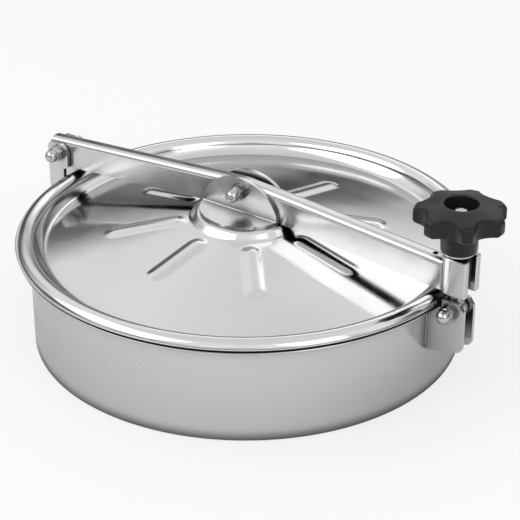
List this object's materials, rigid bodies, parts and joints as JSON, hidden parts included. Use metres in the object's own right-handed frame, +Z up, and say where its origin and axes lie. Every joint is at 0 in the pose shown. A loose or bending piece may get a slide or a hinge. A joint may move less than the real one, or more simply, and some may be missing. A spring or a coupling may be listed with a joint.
{
  "type": "tank manway cover",
  "caption": "Round pressed tank manway cover on a short flanged neck, hinged clamp arm across the lid, forked end held by a swing bolt with a lobed hand knob.",
  "frame": {"origin": "centre of the neck's lower edge, on the weld plane", "axes": "+Z up along the neck, +X from the hinge to the knob, -Y towards the cap nuts"},
  "size_m": [0.495, 0.4252, 0.19],
  "materials": {
    "steel": "polished stainless sheet",
    "hardware": "polished stainless fasteners",
    "thread_steel": "turned stainless",
    "seal": "matt black",
    "knob_plastic": "black, satin"
  },
  "bodies": {
    "neck": {"neck": "steel", "hinge_ear_front": "steel", "hinge_ear_rear": "steel", "latch_ear_front": "steel", "latch_ear_rear": "steel", "hinge_bolt": "hardware", "hinge_cap_nut": "hardware", "hinge_washers": "hardware", "latch_bolt": "hardware", "latch_cap_nut": "hardware", "latch_washers": "hardware"},
    "cover": {"lid": "steel", "gasket": "seal", "arm": "steel", "arm_fork": "steel", "lid_bracket_front": "steel", "lid_bracket_rear": "steel", "centre_bolt": "hardware", "centre_cap_nut": "hardware", "centre_washers": "hardware"},
    "swing_bolt": {"swing_bolt": "thread_steel"},
    "knob_carrier": {"knob_washer": "hardware"},
    "knob": {"knob": "knob_plastic", "knob_bush": "thread_steel"}
  },
  "joints": [
    {"name": "arm_swing", "type": "hinge", "parent": "neck", "child": "cover", "pos_m": [-0.2195, 0, 0.122], "axis": [0, -1, 0], "range_deg": [0, 105]},
    {"name": "bolt_swing", "type": "hinge", "parent": "neck", "child": "swing_bolt", "pos_m": [0.222, 0, 0.09], "axis": [0, 1, 0], "range_deg": [0, 100]},
    {"name": "knob_rise", "type": "slide", "parent": "swing_bolt", "child": "knob_carrier", "axis": [0, 0, 1], "range_m": [0, 0.0106]},
    {"name": "knob_spin", "type": "hinge", "parent": "knob_carrier", "child": "knob", "pos_m": [0.222, 0, 0.16], "axis": [0, 0, 1], "range_deg": [0, 2160]}
  ],
  "couplings": [
    {"joint": "knob_rise", "follows": "knob_spin", "m_per_rad": 0.00027852}
  ]
}
